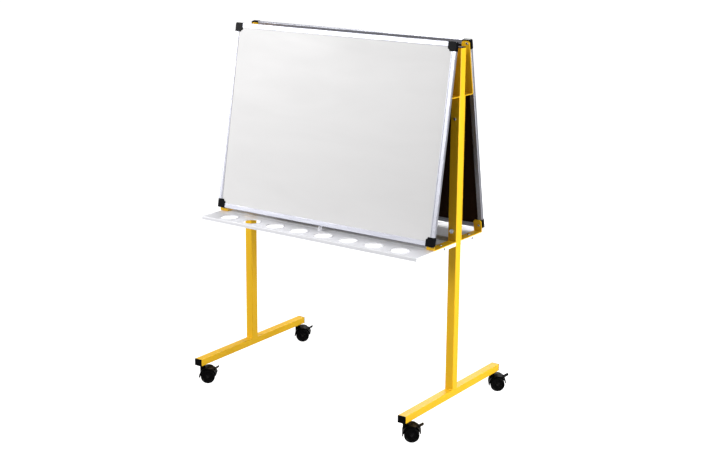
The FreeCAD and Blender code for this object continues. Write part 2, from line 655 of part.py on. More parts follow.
def castor_nut():
    """Nut on the stem, inside the foot tube."""
    foot = CASTOR_HEIGHT + TUBE_WALL
    nut = hexagon(STEM_NUT_FLATS, Vector(0, 0, foot), Vector(0, 0, foot + STEM_NUT_HEIGHT))
    return nut.cut(rod(STEM_THREAD_RADIUS, Vector(0, 0, foot - PAST),
                       Vector(0, 0, foot + STEM_NUT_HEIGHT + PAST)))


def round_axle(radius, degrees, y=0.0):
    """Point at a radius and an angle round the axle, measured in the XZ plane from the trailing side."""
    a = math.radians(degrees)
    return Vector(TRAIL + radius * math.cos(a), y, WHEEL_RADIUS + radius * math.sin(a))


def brake_hinge():
    """Middle of the hinge line of the brake."""
    return round_axle(BRAKE_HINGE_RADIUS, BRAKE_HINGE_ANGLE)


def hinge_rod(radius, y0, y1):
    """Round bar on the hinge line between two distances from the middle."""
    at = brake_hinge()
    return rod(radius, at + Y_AXIS * y0, at + Y_AXIS * y1)


def castor_housing():
    """Moulded hood and web that carry the axle, turn on the stem, and hinge the brake."""
    hood = ring_sector(0, HOOD_OUTER, HOOD_WIDTH, HOOD_FROM, HOOD_TO)
    top = CASTOR_HEIGHT - STEM_COLLAR - SIDE_CLEARANCE
    boss = rod(STEM_BOSS_RADIUS, Vector(0, 0, STEM_BOSS_FOOT), Vector(0, 0, top))
    shell = hood.fuse(boss)
    axle = Vector(TRAIL, 0, WHEEL_RADIUS)
    for side in (-1, 1):
        near = axle + Y_AXIS * (side * WEB_WIDTH / 2)
        shell = shell.cut(rod(HOOD_INNER, near, near + Y_AXIS * (side * HOOD_WIDTH)))
    hub = rod(AXLE_BOSS_RADIUS, axle - Y_AXIS * WEB_WIDTH / 2, axle + Y_AXIS * WEB_WIDTH / 2)
    shell = shell.fuse(hub)
    knuckle_space = BRAKE_KNUCKLE_WIDTH / 2 + SIDE_CLEARANCE
    shell = shell.cut(hinge_rod(BRAKE_KNUCKLE_RADIUS + SIDE_CLEARANCE, -knuckle_space, knuckle_space))
    for side in (-1, 1):
        ear = hinge_rod(BRAKE_KNUCKLE_RADIUS, side * knuckle_space, side * (knuckle_space + BRAKE_EAR_WIDTH))
        shell = shell.fuse(ear)
    shell = shell.fuse(hinge_rod(BRAKE_PIN_RADIUS, -knuckle_space, knuckle_space))
    bore_foot = Vector(0, 0, STEM_PIN_FOOT - SIDE_CLEARANCE)
    shell = shell.cut(rod(STEM_PIN_RADIUS + RUNNING_CLEARANCE, bore_foot, Vector(0, 0, top + PAST)))
    shell = shell.cut(rod(AXLE_RADIUS, axle - Y_AXIS * WEB_WIDTH, axle + Y_AXIS * WEB_WIDTH))
    return shell.removeSplitter()


def castor_axle():
    """Steel pin through the web, with a head outside each wheel."""
    half = WHEEL_GAP / 2 + WHEEL_WIDTH + SIDE_CLEARANCE
    axle = Vector(TRAIL, 0, WHEEL_RADIUS)
    pin = rod(AXLE_RADIUS, axle - Y_AXIS * half, axle + Y_AXIS * half)
    head = rod(AXLE_HEAD_RADIUS, axle + Y_AXIS * half, axle + Y_AXIS * (half + AXLE_HEAD))
    other_head = rod(AXLE_HEAD_RADIUS, axle - Y_AXIS * half, axle - Y_AXIS * (half + AXLE_HEAD))
    return pin.fuse([head, other_head]).removeSplitter()


def castor_wheel(side):
    """Moulded wheel, turned about the axle: rounded tread, dished outer face, plain bore."""
    inner, outer = WHEEL_GAP / 2, WHEEL_GAP / 2 + WHEEL_WIDTH
    bore, r = AXLE_RADIUS + RUNNING_CLEARANCE, WHEEL_ROUND
    diagonal = r * (1 - math.sqrt(0.5))
    p = {name: Vector(0, side * y, z) for name, (y, z) in {
        "bore_in": (inner, bore), "side_in": (inner, WHEEL_RADIUS - r),
        "round_in": (inner + diagonal, WHEEL_RADIUS - diagonal), "tread_in": (inner + r, WHEEL_RADIUS),
        "tread_out": (outer - r, WHEEL_RADIUS), "round_out": (outer - diagonal, WHEEL_RADIUS - diagonal),
        "side_out": (outer, WHEEL_RADIUS - r), "rim": (outer, WHEEL_DISH_RADIUS),
        "dish": (outer - WHEEL_DISH, WHEEL_DISH_RADIUS - WHEEL_DISH),
        "hub_foot": (outer - WHEEL_DISH, WHEEL_HUB_RADIUS + WHEEL_HUB_FLARE),
        "hub": (outer, WHEEL_HUB_RADIUS), "bore_out": (outer, bore)}.items()}
    edges = [Part.makeLine(p["bore_in"], p["side_in"]),
             Part.Arc(p["side_in"], p["round_in"], p["tread_in"]).toShape(),
             Part.makeLine(p["tread_in"], p["tread_out"]),
             Part.Arc(p["tread_out"], p["round_out"], p["side_out"]).toShape()]
    for start, end in (("side_out", "rim"), ("rim", "dish"), ("dish", "hub_foot"), ("hub_foot", "hub"),
                       ("hub", "bore_out"), ("bore_out", "bore_in")):
        edges.append(Part.makeLine(p[start], p[end]))
    wheel = Part.Face(Part.Wire(edges)).revolve(Vector(0, 0, 0), Y_AXIS, 360)
    wheel.translate(Vector(TRAIL, 0, WHEEL_RADIUS))
    return wheel


def sloping_plate(a, b, thickness, width):
    """Flat plate whose middle runs from a to b in the XZ plane."""
    up = (b - a).normalize().cross(Y_AXIS) * (thickness / 2)
    side = Y_AXIS * (width / 2)
    corners = [a - up - side, b - up - side, b + up - side, a + up - side]
    return Part.Face(Part.makePolygon(corners + corners[:1])).extrude(side * 2)


def castor_brake():
    """Pedal hinged at the end of the hood: a curved shoe over the wheels and a tongue for the toe."""
    shoe = ring_sector(HOOD_INNER, HOOD_OUTER, BRAKE_WIDTH, BRAKE_FROM, BRAKE_TO)
    mean = (HOOD_INNER + HOOD_OUTER) / 2
    tip = Vector(TRAIL + BRAKE_TIP_OUT, 0, WHEEL_RADIUS + BRAKE_TIP_UP)
    tongue = sloping_plate(round_axle(mean, BRAKE_TONGUE_ANGLE), tip, BRAKE_TONGUE, BRAKE_TONGUE_WIDTH)
    tip_corners = [e for e in tongue.Edges if abs(e.Length - BRAKE_TONGUE) < CLOSE
                   and e.CenterOfMass.distanceToPoint(tip) < BRAKE_TONGUE_WIDTH / 2 + PAST]
    tongue = tongue.makeFillet(BRAKE_TIP_ROUND, tip_corners)
    link_start = round_axle(mean, BRAKE_TO - BRAKE_LINK_IN)
    link = sloping_plate(link_start, brake_hinge(), BRAKE_TONGUE, BRAKE_KNUCKLE_WIDTH)
    edge = round_axle(HOOD_INNER + BRAKE_LIP, BRAKE_FROM)
    lip = rod(BRAKE_LIP, edge - Y_AXIS * BRAKE_WIDTH / 2, edge + Y_AXIS * BRAKE_WIDTH / 2)
    knuckle = hinge_rod(BRAKE_KNUCKLE_RADIUS, -BRAKE_KNUCKLE_WIDTH / 2, BRAKE_KNUCKLE_WIDTH / 2)
    brake = shoe.fuse([tongue, link, knuckle, lip])
    bore = hinge_rod(BRAKE_PIN_RADIUS + RUNNING_CLEARANCE, -BRAKE_WIDTH, BRAKE_WIDTH)
    return brake.cut(bore).removeSplitter()


def castor_nodes():
    """All castor pieces, set under the ends of the feet and turned to where they trail."""
    pieces = {"castor_stem": castor_stem(), "castor_housing": castor_housing(), "castor_axle": castor_axle(),
              "castor_left_wheel": castor_wheel(1), "castor_right_wheel": castor_wheel(-1),
              "castor_brake": castor_brake()}
    nodes, nuts = {}, []
    for end, end_sign in ENDS.items():
        for side, side_sign in SIDES.items():
            stem = Vector(side_sign * POST_X, -end_sign * STEM_Y, 0)
            place = Placement(stem, Rotation(Z_AXIS, CASTOR_REST))
            for name, piece in pieces.items():
                copy = piece.copy()
                copy.Placement = place.multiply(copy.Placement)
                nodes[end + "_" + side + "_" + name] = copy
            nut = castor_nut()
            nut.Placement = place.multiply(nut.Placement)
            nuts.append(nut)
    nodes["castor_nuts"] = Part.makeCompound(nuts)
    return nodes


# ---------------------------------------------------------------- assembly
def all_nodes():
    """Every node of the easel, by name."""
    nodes = {"foot_plugs": foot_plugs(), "upright_plugs": upright_plugs(), "tray_front_shelf": front_shelf(),
             "tray_centre_pan": centre_pan(), "tray_rail": tray_rail(), "board_props": board_props()}
    nodes["tray_rear_shelf"] = rear_of(nodes["tray_front_shelf"])
    for side, sign in SIDES.items():
        nodes[side + "_foot"] = foot(sign)
        nodes[side + "_upright"] = upright(sign)
        nodes[side + "_front_bar"] = front_bar(sign)
        nodes[side + "_rear_bar"] = rear_of(front_bar(-sign))
    for name, piece in board_nodes().items():
        nodes["front_board_" + name] = piece
        nodes["rear_board_" + name] = rear_of(piece)
    nodes.update(fasteners())
    nodes.update(castor_nodes())
    return nodes


os.makedirs("parts", exist_ok=True)
for node, shape in all_nodes().items():
    if not shape.isValid():
        raise ValueError(node + " is not a valid shape")
    shape.exportStep("parts/" + node + ".step")
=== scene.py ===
"""Mobile double-sided whiteboard easel: the looks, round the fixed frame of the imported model.

Metres, in the frame's own axes: X along the boards, Y from front to back, Z up from the floor.
"""
import json
import math

import bmesh
import bpy
import numpy as np
from mathutils import Matrix, Vector


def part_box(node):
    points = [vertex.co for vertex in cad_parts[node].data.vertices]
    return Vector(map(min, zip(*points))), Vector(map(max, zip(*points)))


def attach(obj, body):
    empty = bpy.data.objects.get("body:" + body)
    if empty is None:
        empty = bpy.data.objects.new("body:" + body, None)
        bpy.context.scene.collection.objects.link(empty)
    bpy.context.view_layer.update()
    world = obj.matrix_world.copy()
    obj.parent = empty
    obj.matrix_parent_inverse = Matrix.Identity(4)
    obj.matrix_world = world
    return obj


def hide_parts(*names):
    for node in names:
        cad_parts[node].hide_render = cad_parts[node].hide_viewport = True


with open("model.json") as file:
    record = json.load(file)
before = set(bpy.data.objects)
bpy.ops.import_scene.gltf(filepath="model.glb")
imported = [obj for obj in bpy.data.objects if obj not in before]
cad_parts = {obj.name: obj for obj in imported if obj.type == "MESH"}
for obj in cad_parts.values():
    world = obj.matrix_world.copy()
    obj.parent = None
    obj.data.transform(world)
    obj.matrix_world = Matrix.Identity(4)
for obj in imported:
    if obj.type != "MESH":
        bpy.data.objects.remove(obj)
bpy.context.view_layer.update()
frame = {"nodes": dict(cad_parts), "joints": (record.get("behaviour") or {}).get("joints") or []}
MM = 0.001

# ---------------------------------------------------------------- camera
# A long lens on the right of the easel, a little above the boards and tipped down at them. The small
# shift sets the easel slightly above the middle of the picture.
CAMERA_PLACE = (2.628, -3.644, 1.758)
CAMERA_YAW = 0.6176
CAMERA_TIP = 0.2357
CAMERA_ROLL = 0.0083
CAMERA_LENS = 67.8
CAMERA_SHIFT = -0.05

lens = bpy.data.cameras.new("camera")
lens.sensor_width = 36.0
lens.lens = CAMERA_LENS
lens.shift_y = CAMERA_SHIFT
lens.clip_start = 0.1
lens.clip_end = 100.0
camera = bpy.data.objects.new("camera", lens)
bpy.context.scene.collection.objects.link(camera)
turn = Matrix.Rotation(CAMERA_YAW, 4, "Z") @ Matrix.Rotation(math.pi / 2 - CAMERA_TIP, 4, "X")
camera.matrix_world = Matrix.Translation(CAMERA_PLACE) @ turn @ Matrix.Rotation(CAMERA_ROLL, 4, "Z")
bpy.context.scene.camera = camera

# ---------------------------------------------------------------- studio
# White floor and white surroundings. A soft light on the right lights the outer faces of the posts,
# one on the left front the writing surface, a wide one overhead the tray, and one the rear board.
MIX_FACTOR, NUMBER_A, NUMBER_B = 0, 2, 3                 # sockets of a Mix node
COLOUR_A, COLOUR_B, COLOUR_OUT = 6, 7, 2


def linear(colour):
    """sRGB hex to linear red, green, blue, 1: each channel c is c/12.92 below 0.04045, or else
    ((c + 0.055)/1.055) to the power 2.4."""
    channels = [int(colour[i:i + 2], 16) / 255 for i in (1, 3, 5)]
    return tuple(c / 12.92 if c <= 0.04045 else ((c + 0.055) / 1.055) ** 2.4 for c in channels) + (1.0,)


def add(tree, kind, settings=None, links=None):
    """Adds a node, with settings for its properties or input sockets, and links into its inputs."""
    made = tree.nodes.new(kind)
    for name, value in (settings or {}).items():
        if isinstance(name, int) or name in made.inputs:
            made.inputs[name].default_value = value
        else:
            setattr(made, name, value)
    for name, source in (links or {}).items():
        tree.links.new(source, made.inputs[name])
    return made


def new_tree(name):
    """A material with an empty node tree."""
    material = bpy.data.materials.new(name)
    material.use_nodes = True
    material.node_tree.nodes.clear()
    return material, material.node_tree


FLOOR_HALF = 60.0
FLOOR_COLOUR = "#a8a8a8"
SURROUND_LIGHT = 0.16
SURROUND_SEEN = 1.0
SURROUND_MIRRORED = 0.55
FLOOR_GLOW = 1.0                                         # keeps the far floor as pale as the near floor
SOFT_LIGHTS = {                                          # place, target, size, watts
    "right": ((2.5, 0.1, 0.9), (0.433, 0.0, 0.8), 0.9, 58.0),
    "left_front": ((-3.8, -4.1, 2.9), (-0.05, -0.15, 0.9), 2.4, 300.0),
    "overhead": ((0.2, -0.2, 3.2), (0.2, -0.2, 0.0), 2.5, 17.0),
    "rear": ((-1.2, 3.4, 3.2), (0.0, 0.15, 0.8), 2.0, 110.0),
}


def soft_light(name, place, target, size, watts):
    """Square area light that faces its target."""
    data = bpy.data.lights.new(name, "AREA")
    data.size = size
    data.energy = watts
    light = bpy.data.objects.new(name, data)
    bpy.context.scene.collection.objects.link(light)
    light.location = place
    light.rotation_euler = Vector(np.subtract(target, place)).to_track_quat("-Z", "Y").to_euler()


def seen_strength(tree, seen, mirrored, lit):
    """Strength of the stage's own light: as the camera sees it, in a reflection, and as a light."""
    ray = add(tree, "ShaderNodeLightPath")
    straight = add(tree, "ShaderNodeMapRange", {"To Min": lit, "To Max": mirrored},
                   {"Value": ray.outputs["Is Glossy Ray"]}).outputs[0]
    return add(tree, "ShaderNodeMix", {"data_type": "FLOAT", NUMBER_B: seen},
               {MIX_FACTOR: ray.outputs["Is Camera Ray"], NUMBER_A: straight}).outputs[0]


bpy.context.scene.view_settings.view_transform = "Standard"
world = bpy.data.worlds.new("white_surround")
bpy.context.scene.world = world
world.use_nodes = True
sky = world.node_tree
sky.nodes.clear()
white = add(sky, "ShaderNodeBackground", {"Color": linear("#ffffff")},
            {"Strength": seen_strength(sky, SURROUND_SEEN, SURROUND_MIRRORED, SURROUND_LIGHT)})
add(sky, "ShaderNodeOutputWorld", None, {"Surface": white.outputs[0]})
for name, values in SOFT_LIGHTS.items():
    soft_light(name, *values)

floor_mesh = bpy.data.meshes.new("floor")
floor_corners = [(x * FLOOR_HALF, y * FLOOR_HALF, 0) for x, y in ((-1, -1), (1, -1), (1, 1), (-1, 1))]
floor_mesh.from_pydata(floor_corners, [], [(0, 1, 2, 3)])
floor = bpy.data.objects.new("floor", floor_mesh)
bpy.context.scene.collection.objects.link(floor)
paper, tree = new_tree("matt_white_paper")
matt = add(tree, "ShaderNodeBsdfPrincipled", {"Base Color": linear(FLOOR_COLOUR), "Roughness": 0.9,
                                              "Specular IOR Level": 0.0})
glow = add(tree, "ShaderNodeEmission", {"Color": linear("#ffffff")},
           {"Strength": seen_strength(tree, FLOOR_GLOW, 0.0, 0.0)})
sheet = add(tree, "ShaderNodeAddShader", None, {0: matt.outputs[0], 1: glow.outputs[0]})
add(tree, "ShaderNodeOutputMaterial", None, {"Surface": sheet.outputs[0]})
floor_mesh.materials.append(paper)

# ---------------------------------------------------------------- legs
# Square steel tube, welded into two upside-down T shapes and powder coated yellow. Baked powder
# gives an even colour with a fine orange-peel skin and a soft gloss.
POWDER_YELLOW = "#f5c321"
POWDER_DEEP = "#edb61a"
POWDER_CLOUD = 90 * MM                                   # soft change of shade
ORANGE_PEEL = 2.2 * MM                                   # real peel is about 1 mm: drawn coarser to show
WELD_LEG = 3.6 * MM
WELD_RIPPLE = 2.6 * MM
WELD_INSET = 1.2 * MM                                    # end of a bead in from the side of the post
WELD_POINTS = 96
WELD_ARC = 9


def object_place(tree, stretch=(1.0, 1.0, 1.0)):
    """Object coordinates, squeezed along each axis."""
    place = add(tree, "ShaderNodeTexCoord").outputs["Object"]
    return add(tree, "ShaderNodeMapping", {"Scale": stretch}, {"Vector": place}).outputs[0]


def noise(tree, place, size, detail=2.0, roughness=0.5):
    """Soft noise with lumps of the given size."""
    settings = {"Scale": 1 / size, "Detail": detail, "Roughness": roughness}
    return add(tree, "ShaderNodeTexNoise", settings, {"Vector": place}).outputs[0]


def between(tree, factor, low, high, start=0.0, end=1.0):
    """A number that goes from low to high as the factor goes from start to end."""
    settings = {"From Min": start, "From Max": end, "To Min": low, "To Max": high}
    return add(tree, "ShaderNodeMapRange", settings, {"Value": factor}).outputs[0]


def blend_colours(tree, factor, first, second):
    """Mix of two colours. Each is a hex colour or a colour socket."""
    settings, links = {"data_type": "RGBA"}, {MIX_FACTOR: factor}
    for socket, colour in ((COLOUR_A, first), (COLOUR_B, second)):
        if isinstance(colour, str):
            settings[socket] = linear(colour)
        else:
            links[socket] = colour
    return add(tree, "ShaderNodeMix", settings, links).outputs[COLOUR_OUT]


def finish_material(tree, settings, links, height=None, depth=0.0):
    """Principled shader and output, with a bump from a height whose full range is depth metres."""
    if height is not None:
        bump = add(tree, "ShaderNodeBump", {"Distance": depth, "Strength": 1.0}, {"Height": height})
        links = dict(links, Normal=bump.outputs[0])
    shader = add(tree, "ShaderNodeBsdfPrincipled", settings, links)
    add(tree, "ShaderNodeOutputMaterial", None, {"Surface": shader.outputs[0]})


def powder_coat():
    """Baked yellow polyester powder: two close shades in soft clouds, and an orange-peel skin."""
    material, tree = new_tree("yellow_powder_coat")
    place = object_place(tree)
    colour = blend_colours(tree, noise(tree, place, POWDER_CLOUD), POWDER_YELLOW, POWDER_DEEP)
    peel = noise(tree, place, ORANGE_PEEL, 1.0)
    gloss = between(tree, noise(tree, place, 14 * MM), 0.30, 0.40)
    finish_material(tree, {"IOR": 1.5, "Specular IOR Level": 0.25},
                    {"Base Color": colour, "Roughness": gloss}, peel, 0.06 * MM)
    return material


def dress(material, *nodes):
    """Gives CAD nodes a material in their own slots."""
    for node in nodes:
        for slot in frame["nodes"][node].material_slots:
            slot.material = material


def new_piece(name, points, faces, material, body, slot):
    """Mesh from arrays of points and faces, closed, with faces pointing outwards, riding on a body."""
    mesh = bpy.data.meshes.new(name)
    mesh.from_pydata(points.tolist(), [], faces.tolist())
    work = bmesh.new()
    work.from_mesh(mesh)
    bmesh.ops.remove_doubles(work, verts=work.verts, dist=0.002 * MM)
    bmesh.ops.recalc_face_normals(work, faces=work.faces)
    work.to_mesh(mesh)
    work.free()
    mesh.polygons.foreach_set("use_smooth", np.ones(len(mesh.polygons), bool))
    mesh.materials.append(material)
    piece = bpy.data.objects.new(name, mesh)
    bpy.context.scene.collection.objects.link(piece)
    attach(piece, body)
    return piece


def grid_faces(rows, columns, rows_close):
    """Quads of a grid of points that is closed across its columns, and along its rows if told."""
    row = np.arange(rows if rows_close else rows - 1)[:, None]
    column = np.arange(columns)[None, :]
    after_row, after_column = (row + 1) % rows, (column + 1) % columns
    corners = (row * columns + column, row * columns + after_column,
               after_row * columns + after_column, after_row * columns + column)
    return np.stack([np.broadcast_to(c, (row.size, columns)) for c in corners], -1).reshape(-1, 4)


def weld_bead(start, end, outward, seed):
    """Fillet weld from start to end in the corner between a post and the foot under it. The seed shifts
    the ripple, so that no two beads are alike.

    Along the bead a parameter s runs from 0 to 1. The leg is the full leg times the square root of
    1 - (2s - 1)^8, and swells by a twelfth with a sine of the ripple length. Across, an angle turns
    from level to upright, and its cosine and sine are each multiplied by 0.78 plus 0.22 times their
    own fourth power. A last point in the corner closes the section."""
    s = np.linspace(0, 1, WELD_POINTS)
    length = np.linalg.norm(np.subtract(end, start))
    ripple = 1 + np.sin(2 * math.pi * s * length / WELD_RIPPLE + seed) / 12
    leg = WELD_LEG * np.sqrt(np.clip(1 - (2 * s - 1) ** 8, 0, 1)) * ripple
    angle = np.linspace(0, math.pi / 2, WELD_ARC)
    out = np.append(np.cos(angle) * (0.78 + 0.22 * np.cos(angle) ** 4), 0)
    rise = np.append(np.sin(angle) * (0.78 + 0.22 * np.sin(angle) ** 4), 0)
    line = np.array(start) + s[:, None] * np.subtract(end, start)
    points = (line[:, None, :] + (leg[:, None] * out)[..., None] * np.array(outward)
              + (leg[:, None] * rise)[..., None] * np.array((0, 0, 1)))
    return points.reshape(-1, 3), grid_faces(WELD_POINTS, WELD_ARC + 1, False)


powder = powder_coat()
dress(powder, "left_foot", "right_foot", "left_upright", "right_upright")
for side in ("left", "right"):
    low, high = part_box(side + "_upright")
    for end, face_y, outward in (("front", low.y, (0, -1, 0)), ("rear", high.y, (0, 1, 0))):
        points, faces = weld_bead((low.x + WELD_INSET, face_y, low.z), (high.x - WELD_INSET, face_y, low.z),
                                  outward, low.x * 100 + face_y)
        new_piece(side + "_" + end + "_weld", points, faces, powder, "frame", "yellow_paint")

# ---------------------------------------------------------------- flat bars
# Flat steel bar, bent in steps and powder coated with the legs. Each holds one end of a board and
# one end of the tray against a post.
dress(powder, "left_front_bar", "left_rear_bar", "right_front_bar", "right_rear_bar")

# ---------------------------------------------------------------- tube plugs
# Push-in plugs of black polyethylene, moulded with a fine spark-eroded grain that dulls the gloss.
PLUG_BLACK = "#020203"
PLUG_WORN = "#08080a"
MOULD_GRAIN = 0.9 * MM                                   # real grain is about 0.2 mm: drawn coarser to show
PLASTIC_SHEEN = 0.06                                     # mirror-like share of black plastic, kept low


def moulded_black(name, colour, worn, roughness):
    """Moulded black plastic: slightly greyed in patches, with a fine grain in its skin."""
    material, tree = new_tree(name)
    place = object_place(tree)
    patches = between(tree, noise(tree, place, 11 * MM, 4.0), 0.0, 1.0, 0.45, 0.75)
    colours = blend_colours(tree, patches, colour, worn)
    grain = noise(tree, place, MOULD_GRAIN, 2.0)
    gloss = between(tree, noise(tree, place, 5 * MM), roughness - 0.06, roughness + 0.08)
    finish_material(tree, {"IOR": 1.5, "Specular IOR Level": PLASTIC_SHEEN},
                    {"Base Color": colours, "Roughness": gloss}, grain, 0.03 * MM)
    return material


dress(moulded_black("black_polyethylene", PLUG_BLACK, PLUG_WORN, 0.46), "foot_plugs", "upright_plugs")

# ---------------------------------------------------------------- tray
# Steel sheet, punched and folded down at its edges, then enamelled a cool white. The punch rolls a
# thin lip round each paint-pot hole. A painted flat bar stiffens the middle.
TRAY_WHITE = "#f5f5f9"
TRAY_COOL = "#eeeef3"
TRAY_MARK = "#dcdbe1"
RAIL_CREAM = "#c9c2b2"
RAIL_SHADE = "#bab2a2"
HOLE_RADIUS = 28.5 * MM
HOLE_PITCH = 101.7 * MM
HOLE_Y = 208.0 * MM
HOLES = 8
LIP_HALF_WIDTH = 3.0 * MM
LIP_RISE = 1.5 * MM
LIP_TURNS = 64
LIP_SECTION = 16


def tray_enamel():
    """Cool white enamel: two near shades, faint scuffs where pots slide, and a slight peel."""
    material, tree = new_tree("cool_white_enamel")
    place = object_place(tree)
    base = blend_colours(tree, noise(tree, place, 120 * MM), TRAY_WHITE, TRAY_COOL)
    scuffs = add(tree, "ShaderNodeTexNoise", {"Scale": 1 / (7 * MM), "Detail": 6.0, "Distortion": 1.6},
                 {"Vector": object_place(tree, (0.35, 1.0, 1.0))}).outputs[0]
    colour = blend_colours(tree, between(tree, scuffs, 0.0, 0.5, 0.62, 0.80), base, TRAY_MARK)
    gloss = between(tree, noise(tree, place, 30 * MM, 3.0), 0.26, 0.38)
    finish_material(tree, {"IOR": 1.5}, {"Base Color": colour, "Roughness": gloss},
                    noise(tree, place, 2.6 * MM, 1.0), 0.03 * MM)
    return material


def plain_paint(name, light, shade, roughness):
    """Thin brushed-out paint on flat bar."""
    material, tree = new_tree(name)
    place = object_place(tree, (0.15, 1.0, 1.0))
    colour = blend_colours(tree, noise(tree, place, 9 * MM, 3.0), light, shade)
    finish_material(tree, {"Roughness": roughness}, {"Base Color": colour},
                    noise(tree, place, 1.6 * MM, 2.0), 0.03 * MM)
    return material


def hole_lips(centre_y, top):
    """Rolled lips of one row of holes. Each is a ring: round the hole by an angle, and across by an
    ellipse with half-axes of the lip's half width and rise, sunk into the sheet's top."""
    round_hole = np.linspace(0, 2 * math.pi, LIP_TURNS, endpoint=False)
    across = np.linspace(0, 2 * math.pi, LIP_SECTION, endpoint=False)
    radius = HOLE_RADIUS + LIP_HALF_WIDTH * (1 + np.cos(across))[None, :]
    rise = np.broadcast_to(LIP_RISE * np.sin(across), (LIP_TURNS, LIP_SECTION))
    ring = np.stack([np.cos(round_hole)[:, None] * radius, np.sin(round_hole)[:, None] * radius,
                     rise], -1).reshape(-1, 3)
    places = (np.arange(HOLES) - (HOLES - 1) / 2) * HOLE_PITCH
    centres = np.stack([places, np.full(HOLES, centre_y), np.full(HOLES, top)], -1)
    points = (ring[None] + centres[:, None]).reshape(-1, 3)
    faces = grid_faces(LIP_TURNS, LIP_SECTION, True)
    steps = np.arange(HOLES)[:, None, None] * len(ring)
    return points, (faces[None] + steps).reshape(-1, 4)


enamel = tray_enamel()
dress(enamel, "tray_front_shelf", "tray_centre_pan", "tray_rear_shelf", "board_props")
dress(plain_paint("cream_bar_paint", RAIL_CREAM, RAIL_SHADE, 0.45), "tray_rail")
for end, sign in (("front", -1), ("rear", 1)):
    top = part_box("tray_" + end + "_shelf")[1].z
    new_piece(end + "_hole_lips", *hole_lips(sign * HOLE_Y, top), enamel, "frame", "tray_enamel")

# ---------------------------------------------------------------- boards
# Each board is white enamelled steel on dark hardboard, in channels of anodised aluminium with a
# plastic piece over each corner. Wiped marker leaves the enamel with a faint, uneven haze.
BOARD_WHITE = "#e5e4e4"
BOARD_HAZE = "#e1e0e0"
BROWN_BOARD = "#1d0e05"
BROWN_FIBRE = "#3a200f"
SATIN_ALUMINIUM = "#b9bac2"
DULL_ALUMINIUM = "#9b9ca6"
CORNER_BLACK = "#030307"
CORNER_WORN = "#0a0a10"


def writing_steel():
    """White enamelled steel: faint haze in wide wiped strokes, and a smooth, even gloss."""
    material, tree = new_tree("white_writing_enamel")
    strokes = add(tree, "ShaderNodeTexNoise", {"Scale": 1 / (160 * MM), "Detail": 3.0, "Distortion": 0.6},
                  {"Vector": object_place(tree, (0.4, 1.0, 1.6))}).outputs[0]
    colour = blend_colours(tree, between(tree, strokes, 0.0, 1.0, 0.35, 0.7), BOARD_WHITE, BOARD_HAZE)
    gloss = between(tree, strokes, 0.36, 0.44, 0.3, 0.7)
    finish_material(tree, {"IOR": 1.5, "Specular IOR Level": 0.35},
                    {"Base Color": colour, "Roughness": gloss},
                    noise(tree, object_place(tree), 60 * MM, 1.0), 0.02 * MM)
    return material


def hardboard():
    """Pressed dark hardboard: short fibres of a lighter brown on a nearly black ground."""
    material, tree = new_tree("dark_hardboard")
    place = object_place(tree)
    fibres = add(tree, "ShaderNodeTexNoise", {"Scale": 1 / (2.4 * MM), "Detail": 5.0, "Distortion": 2.2},
                 {"Vector": place}).outputs[0]
    colour = blend_colours(tree, between(tree, fibres, 0.0, 0.8, 0.45, 0.75), BROWN_BOARD, BROWN_FIBRE)
    finish_material(tree, {"Roughness": 0.8, "IOR": 1.48, "Specular IOR Level": 0.1},
                    {"Base Color": colour}, fibres, 0.12 * MM)
    return material


def anodised(name, stretch):
    """Anodised extrusion: die lines along its length, drawn 0.8 mm apart so that they show."""
    material, tree = new_tree(name)
    lines = add(tree, "ShaderNodeTexNoise", {"Scale": 1 / (0.8 * MM), "Detail": 2.0},
                {"Vector": object_place(tree, stretch)}).outputs[0]
    wear = between(tree, lines, 0.0, 1.0, 0.35, 0.7)
    colour = blend_colours(tree, wear, SATIN_ALUMINIUM, DULL_ALUMINIUM)
    gloss = between(tree, lines, 0.38, 0.52, 0.3, 0.7)
    finish_material(tree, {"Metallic": 1.0}, {"Base Color": colour, "Roughness": gloss}, lines, 0.02 * MM)
    return material


along_x = anodised("anodised_aluminium_across", (0.01, 1.0, 1.0))
along_z = anodised("anodised_aluminium_upright", (1.0, 1.0, 0.01))
steel_face = writing_steel()
brown = hardboard()
corner_plastic = moulded_black("black_corner_plastic", CORNER_BLACK, CORNER_WORN, 0.40)
for end in ("front", "rear"):
    dress(steel_face, end + "_board_surface")
    dress(brown, end + "_board_core")
    dress(along_x, end + "_board_top_rail", end + "_board_bottom_rail")
    dress(along_z, end + "_board_left_rail", end + "_board_right_rail")
    dress(corner_plastic, end + "_board_corners")

# ---------------------------------------------------------------- fasteners
# Zinc-plated steel screws, bolts, nuts and rivets. The plating is bright, with a thin bluish bloom.
ZINC_BRIGHT = "#c9ccd2"
ZINC_BLOOM = "#9b9fa8"


def zinc_plate():
    """Bright zinc: fine mottled crystals under a bluish bloom."""
    material, tree = new_tree("bright_zinc_plate")
    place = object_place(tree)
    bloom = noise(tree, place, 3.0 * MM, 4.0)
    colour = blend_colours(tree, between(tree, bloom, 0.0, 1.0, 0.35, 0.7), ZINC_BRIGHT, ZINC_BLOOM)
    gloss = between(tree, bloom, 0.20, 0.36, 0.3, 0.7)
    finish_material(tree, {"Metallic": 1.0}, {"Base Color": colour, "Roughness": gloss},
                    noise(tree, place, 0.7 * MM), 0.01 * MM)
    return material


zinc = zinc_plate()
dress(zinc, "board_screws", "bracket_screws", "post_bolts")
dress(zinc, "tray_nuts", "post_nuts", "castor_nuts", "shelf_rivets")

